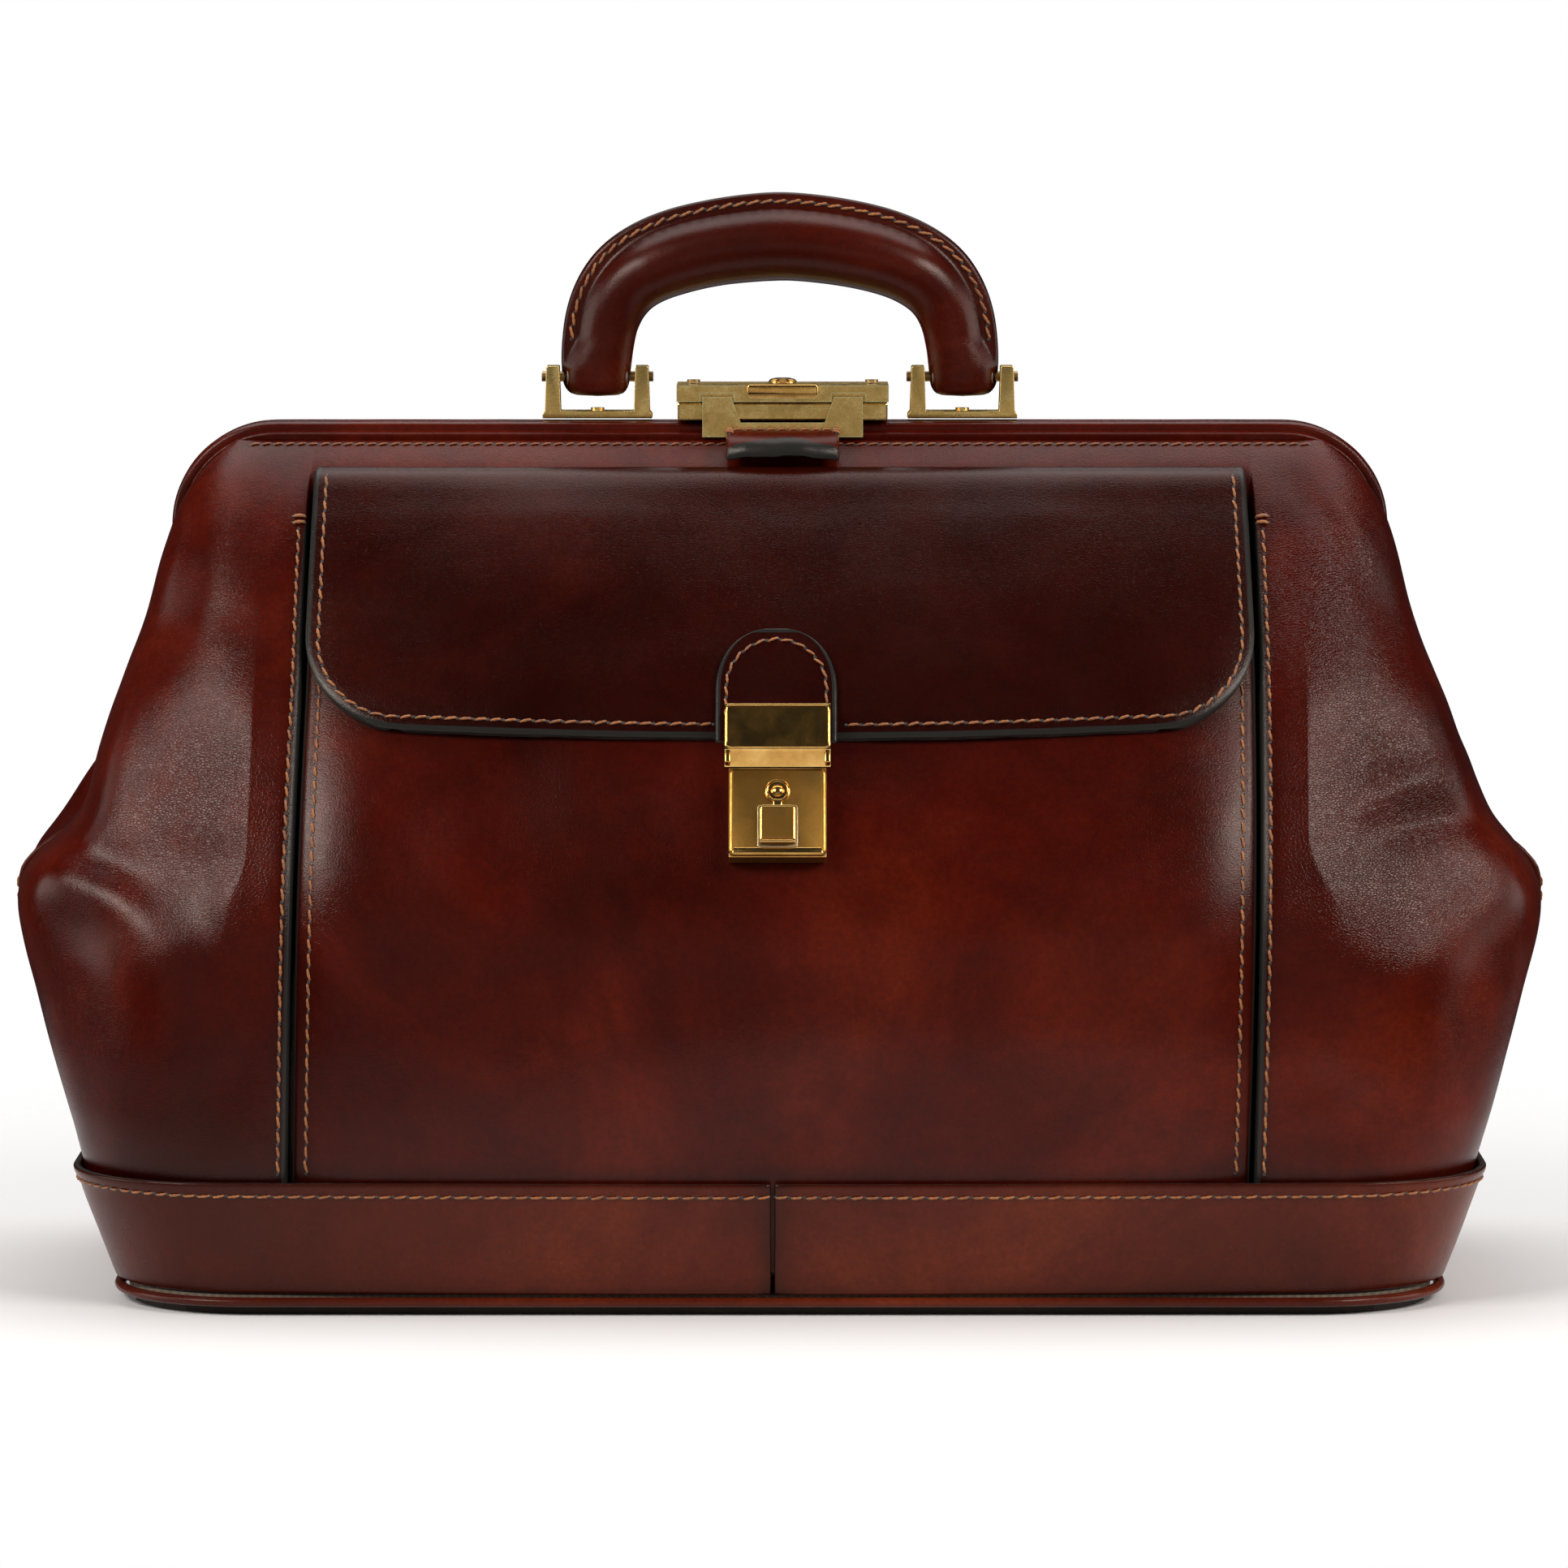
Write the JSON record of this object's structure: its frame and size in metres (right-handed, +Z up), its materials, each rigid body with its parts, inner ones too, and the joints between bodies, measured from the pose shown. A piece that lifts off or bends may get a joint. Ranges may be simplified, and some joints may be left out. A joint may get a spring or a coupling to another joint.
{
  "type": "doctor bag",
  "caption": "Leather doctor bag with a hinged metal frame mouth, a front flap pocket with a tuck clasp, a top lock, a swinging handle and a stitched base band.",
  "frame": {"origin": "centre of the sole's flat underside, on the ground", "axes": "+X to the right as seen from the front, -Y towards the front pocket, +Z up"},
  "size_m": [0.447, 0.1966, 0.3158],
  "materials": {
    "leather_brown": "glossy dark red-brown bridle leather",
    "leather_band": "glossy brown leather, slightly lighter",
    "leather_sole": "dark sole leather",
    "base_card": "pressed board",
    "lining_cloth": "woven cotton lining",
    "frame_steel": "plain steel",
    "antique_brass": "antiqued brass",
    "polished_gold": "polished gold-coloured brass"
  },
  "bodies": {
    "bag": {"base_sole": "leather_sole", "base_board": "base_card", "base_piping": "leather_brown", "base_band_left": "leather_band", "base_band_right": "leather_band", "lining_base": "lining_cloth", "front_centre_panel": "leather_brown", "front_side_left": "leather_brown", "front_side_right": "leather_brown", "rear_centre_panel": "leather_brown", "rear_side_left": "leather_brown", "rear_side_right": "leather_brown", "lining_front": "lining_cloth", "lining_rear_lower": "lining_cloth", "side_welt_left": "leather_band", "side_welt_right": "leather_band", "pocket_front": "leather_brown", "pocket_side_left": "leather_brown", "pocket_side_right": "leather_brown", "front_frame": "frame_steel", "front_bar_wrap": "leather_brown", "hinge_pin_left": "frame_steel", "hinge_pin_right": "frame_steel", "catch_plate": "antique_brass", "catch_stud_left": "antique_brass", "catch_stud_right": "antique_brass", "pull_tab": "leather_band", "clasp_lock_body": "polished_gold", "clasp_back_plate": "frame_steel"},
    "rear_jaw": {"rear_frame": "frame_steel", "rear_bar_wrap": "leather_brown", "rear_upper_panel": "leather_brown", "lining_rear_upper": "lining_cloth", "lock_box": "antique_brass", "lock_top_plate": "antique_brass", "lock_screw_left": "antique_brass", "lock_screw_right": "antique_brass", "handle_bracket_left": "antique_brass", "handle_bracket_right": "antique_brass", "bracket_rivet_left": "antique_brass", "bracket_rivet_right": "antique_brass", "handle_pin_left": "antique_brass", "handle_pin_right": "antique_brass"},
    "handle": {"handle_leather": "leather_band", "handle_core": "frame_steel", "handle_loop_left": "antique_brass", "handle_loop_right": "antique_brass"},
    "thumb_slide": {"lock_thumb_slide": "antique_brass"},
    "key_disc": {"lock_key_disc": "antique_brass"},
    "flap": {"pocket_flap": "leather_brown", "flap_patch": "leather_brown", "clasp_cap": "polished_gold", "clasp_tongue": "frame_steel"},
    "clasp_slide": {"clasp_slider": "polished_gold"},
    "clasp_key": {"clasp_key_barrel": "polished_gold"}
  },
  "joints": [
    {"name": "rear_jaw_open", "type": "hinge", "parent": "bag", "child": "rear_jaw", "pos_m": [0, 0, 0.175], "axis": [-1, 0, 0], "range_deg": [0, 60], "deforming": ["rear_upper_panel", "lining_rear_upper"]},
    {"name": "handle_swing", "type": "hinge", "parent": "rear_jaw", "child": "handle", "pos_m": [0, 0.0055, 0.262], "axis": [1, 0, 0], "range_deg": [-88, 88]},
    {"name": "lock_thumb_slide", "type": "slide", "parent": "rear_jaw", "child": "thumb_slide", "axis": [1, 0, 0], "range_m": [0, 0.005], "stiffness_N_per_m": 100},
    {"name": "lock_key_turn", "type": "hinge", "parent": "rear_jaw", "child": "key_disc", "pos_m": [0.0008, -0.001, 0.2604], "axis": [0, 0, 1], "range_deg": [0, 90]},
    {"name": "pocket_flap_open", "type": "hinge", "parent": "bag", "child": "flap", "pos_m": [0, -0.0241, 0.2363], "axis": [-1, 0, 0], "range_deg": [0, 60]},
    {"name": "clasp_slider_down", "type": "slide", "parent": "bag", "child": "clasp_slide", "axis": [0, -0.4472, -0.8944], "range_m": [0, 0.004], "stiffness_N_per_m": 100},
    {"name": "clasp_key_turn", "type": "hinge", "parent": "bag", "child": "clasp_key", "pos_m": [-0.0006, -0.0902, 0.14928], "axis": [0, -0.8944, 0.4472], "range_deg": [0, 90]}
  ]
}
